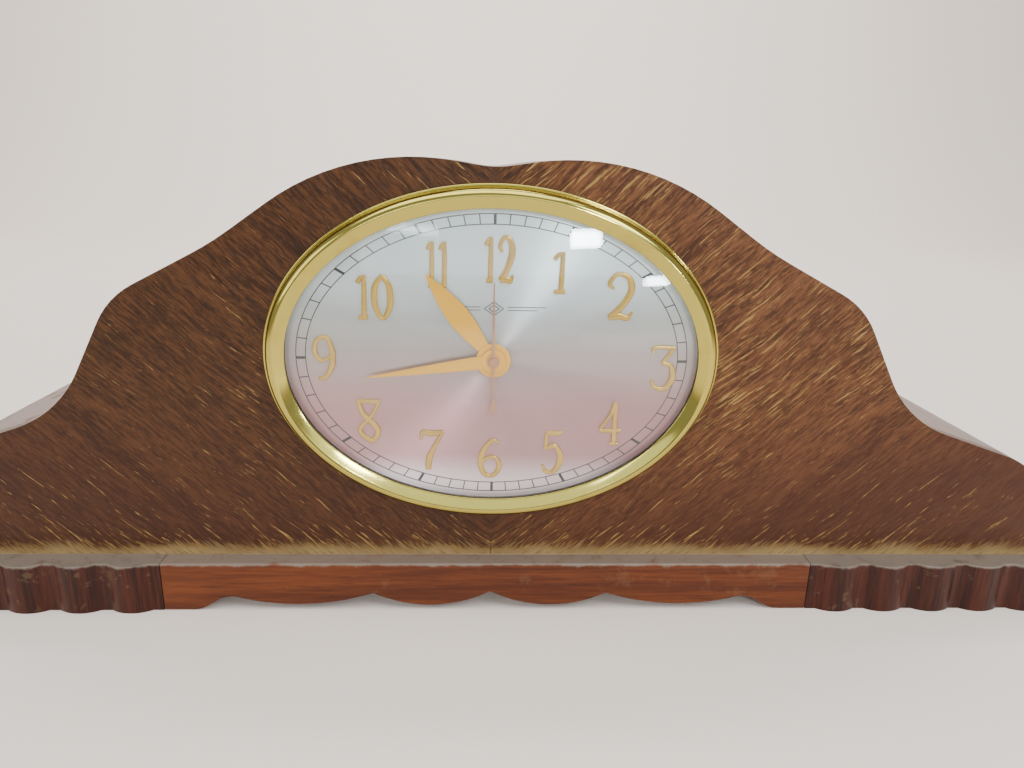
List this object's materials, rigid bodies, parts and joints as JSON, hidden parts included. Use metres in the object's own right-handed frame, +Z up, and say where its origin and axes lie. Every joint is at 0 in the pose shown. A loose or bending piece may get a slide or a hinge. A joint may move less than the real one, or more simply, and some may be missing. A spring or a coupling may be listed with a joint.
{
  "type": "mantel clock",
  "caption": "Humped mantel clock in figured wood on a reeded plinth, with an oval brass bezel, silvered dial, electric movement and rod chime.",
  "frame": {"origin": "centre of the footprint, on the surface that the clock stands on", "axes": "+X to the clock's right as seen from the front, +Y to the back, +Z up"},
  "size_m": [0.5588, 0.14, 0.208],
  "materials": {
    "walnut_veneer": "polished veneer, diagonal figure",
    "dark_wood": "polished, dark stain",
    "apron_wood": "polished, horizontal grain",
    "plain_wood": "bare softwood",
    "back_board": "pressed board",
    "bezel_brass": "polished",
    "hand_brass": "satin",
    "copper_tint": "satin, coppery",
    "gear_brass": "satin",
    "steel": "satin",
    "dial_silver": "brushed, silvered",
    "clear_glass": "polished",
    "black_rubber": "matte",
    "iron": "painted black",
    "bakelite": "gloss, dark brown",
    "coil_tape": "varnished cloth tape"
  },
  "bodies": {
    "case": {"back_cleats": "plain_wood", "back_panel": "back_board", "base_board": "plain_wood", "bezel": "bezel_brass", "bezel_studs": "gear_brass", "case_screws": "steel", "case_top": "dark_wood", "chime_block": "iron", "chime_bracket": "gear_brass", "chime_rods": "steel", "cord_grommet": "black_rubber", "corner_cleats": "plain_wood", "dial_plate": "dial_silver", "front_panel": "walnut_veneer", "glass_gasket": "black_rubber", "hammer_arbor": "steel", "hinge_leaves_fixed": "gear_brass", "hour_numerals": "hand_brass", "lens": "clear_glass", "minute_wheel_post": "steel", "motor_can": "steel", "motor_cap": "steel", "motor_coil": "coil_tape", "motor_yoke": "iron", "mounting_posts": "steel", "mounting_screws": "steel", "movement_pillars": "steel", "movement_plate_back": "gear_brass", "movement_plate_front": "gear_brass", "plinth_apron": "apron_wood", "plinth_block_left": "dark_wood", "plinth_block_right": "dark_wood", "plinth_rear_rail": "dark_wood", "plinth_side_rails": "dark_wood"},
    "hour_body": {"hour_hand": "hand_brass", "hour_wheel": "gear_brass"},
    "minute_body": {"minute_hand": "hand_brass", "hand_nut": "hand_brass", "cannon_pinion": "steel"},
    "seconds_body": {"seconds_hand": "copper_tint", "seconds_arbor": "steel"},
    "minute_wheel_body": {"minute_wheel": "gear_brass"},
    "set_body": {"set_shaft": "steel", "set_knob": "bakelite"},
    "rotor_body": {"motor_rotor": "steel"},
    "intermediate_body": {"intermediate_wheel": "gear_brass"},
    "centre_body": {"centre_wheel": "gear_brass", "clutch_spring": "steel"},
    "drum_body": {"chime_drum": "gear_brass", "drum_wheel": "gear_brass"},
    "chime_pinion_body": {"chime_pinion": "steel"},
    "lever_body": {"silent_lever": "steel"},
    "door_body": {"back_door": "back_board", "hinge_leaves_door": "gear_brass"},
    "catch_body": {"door_catch": "gear_brass"},
    "hammer_body_1": {"chime_hammer_1": "gear_brass"},
    "hammer_body_2": {"chime_hammer_2": "gear_brass"},
    "hammer_body_3": {"chime_hammer_3": "gear_brass"},
    "hammer_body_4": {"chime_hammer_4": "gear_brass"},
    "hammer_body_5": {"chime_hammer_5": "gear_brass"}
  },
  "joints": [
    {"name": "seconds_spin", "type": "hinge", "parent": "case", "child": "seconds_body", "pos_m": [0, 0, 0.122], "axis": [0, 1, 0], "continuous": true},
    {"name": "minute_spin", "type": "hinge", "parent": "case", "child": "minute_body", "pos_m": [0, 0, 0.122], "axis": [0, 1, 0], "continuous": true},
    {"name": "hour_spin", "type": "hinge", "parent": "case", "child": "hour_body", "pos_m": [0, 0, 0.122], "axis": [0, 1, 0], "continuous": true},
    {"name": "minute_wheel_spin", "type": "hinge", "parent": "case", "child": "minute_wheel_body", "pos_m": [0, 0, 0.11], "axis": [0, 1, 0], "continuous": true},
    {"name": "set_knob_turn", "type": "hinge", "parent": "case", "child": "set_body", "pos_m": [0, 0, 0.098], "axis": [0, 1, 0], "continuous": true},
    {"name": "rotor_spin", "type": "hinge", "parent": "case", "child": "rotor_body", "pos_m": [0.00575, 0, 0.13196], "axis": [0, 1, 0], "continuous": true},
    {"name": "intermediate_spin", "type": "hinge", "parent": "case", "child": "intermediate_body", "pos_m": [-0.01302, 0, 0.13293], "axis": [0, 1, 0], "continuous": true},
    {"name": "centre_wheel_spin", "type": "hinge", "parent": "case", "child": "centre_body", "pos_m": [0, 0, 0.122], "axis": [0, 1, 0], "continuous": true},
    {"name": "drum_spin", "type": "hinge", "parent": "case", "child": "drum_body", "pos_m": [-0.038, 0, 0.095], "axis": [0, 1, 0], "continuous": true},
    {"name": "chime_pinion_spin", "type": "hinge", "parent": "case", "child": "chime_pinion_body", "pos_m": [-0.02651, 0, 0.10464], "axis": [0, 1, 0], "continuous": true},
    {"name": "silent_lever_turn", "type": "hinge", "parent": "case", "child": "lever_body", "pos_m": [-0.049, 0, 0.103], "axis": [0, 1, 0], "range_deg": [-15, 15]},
    {"name": "door_hinge", "type": "hinge", "parent": "case", "child": "door_body", "pos_m": [0.0866, 0.064, 0.122], "axis": [0, 0, -1], "range_deg": [0, 110]},
    {"name": "catch_turn", "type": "hinge", "parent": "case", "child": "catch_body", "pos_m": [-0.08933, 0, 0.122], "axis": [0, 1, 0], "range_deg": [0, 90]},
    {"name": "hammer_lift_1", "type": "hinge", "parent": "case", "child": "hammer_body_1", "pos_m": [-0.06, 0, 0.08], "axis": [0, 1, 0], "range_deg": [0, 12], "stiffness_Nm_per_rad": 0.02, "springref_deg": -5.73},
    {"name": "hammer_lift_2", "type": "hinge", "parent": "case", "child": "hammer_body_2", "pos_m": [-0.06, 0, 0.08], "axis": [0, 1, 0], "range_deg": [0, 12], "stiffness_Nm_per_rad": 0.02, "springref_deg": -5.73},
    {"name": "hammer_lift_3", "type": "hinge", "parent": "case", "child": "hammer_body_3", "pos_m": [-0.06, 0, 0.08], "axis": [0, 1, 0], "range_deg": [0, 12], "stiffness_Nm_per_rad": 0.02, "springref_deg": -5.73},
    {"name": "hammer_lift_4", "type": "hinge", "parent": "case", "child": "hammer_body_4", "pos_m": [-0.06, 0, 0.08], "axis": [0, 1, 0], "range_deg": [0, 12], "stiffness_Nm_per_rad": 0.02, "springref_deg": -5.73},
    {"name": "hammer_lift_5", "type": "hinge", "parent": "case", "child": "hammer_body_5", "pos_m": [-0.06, 0, 0.08], "axis": [0, 1, 0], "range_deg": [0, 12], "stiffness_Nm_per_rad": 0.02, "springref_deg": -5.73}
  ],
  "couplings": [
    {"joint": "rotor_spin", "follows": "seconds_spin", "ratio": -3.6},
    {"joint": "intermediate_spin", "follows": "seconds_spin", "ratio": -0.13333},
    {"joint": "centre_wheel_spin", "follows": "seconds_spin", "ratio": 0.016667},
    {"joint": "hour_spin", "follows": "minute_spin", "ratio": 0.083333},
    {"joint": "minute_wheel_spin", "follows": "minute_spin", "ratio": -0.33333},
    {"joint": "set_knob_turn", "follows": "minute_spin", "ratio": 1},
    {"joint": "chime_pinion_spin", "follows": "drum_spin", "ratio": -4}
  ]
}
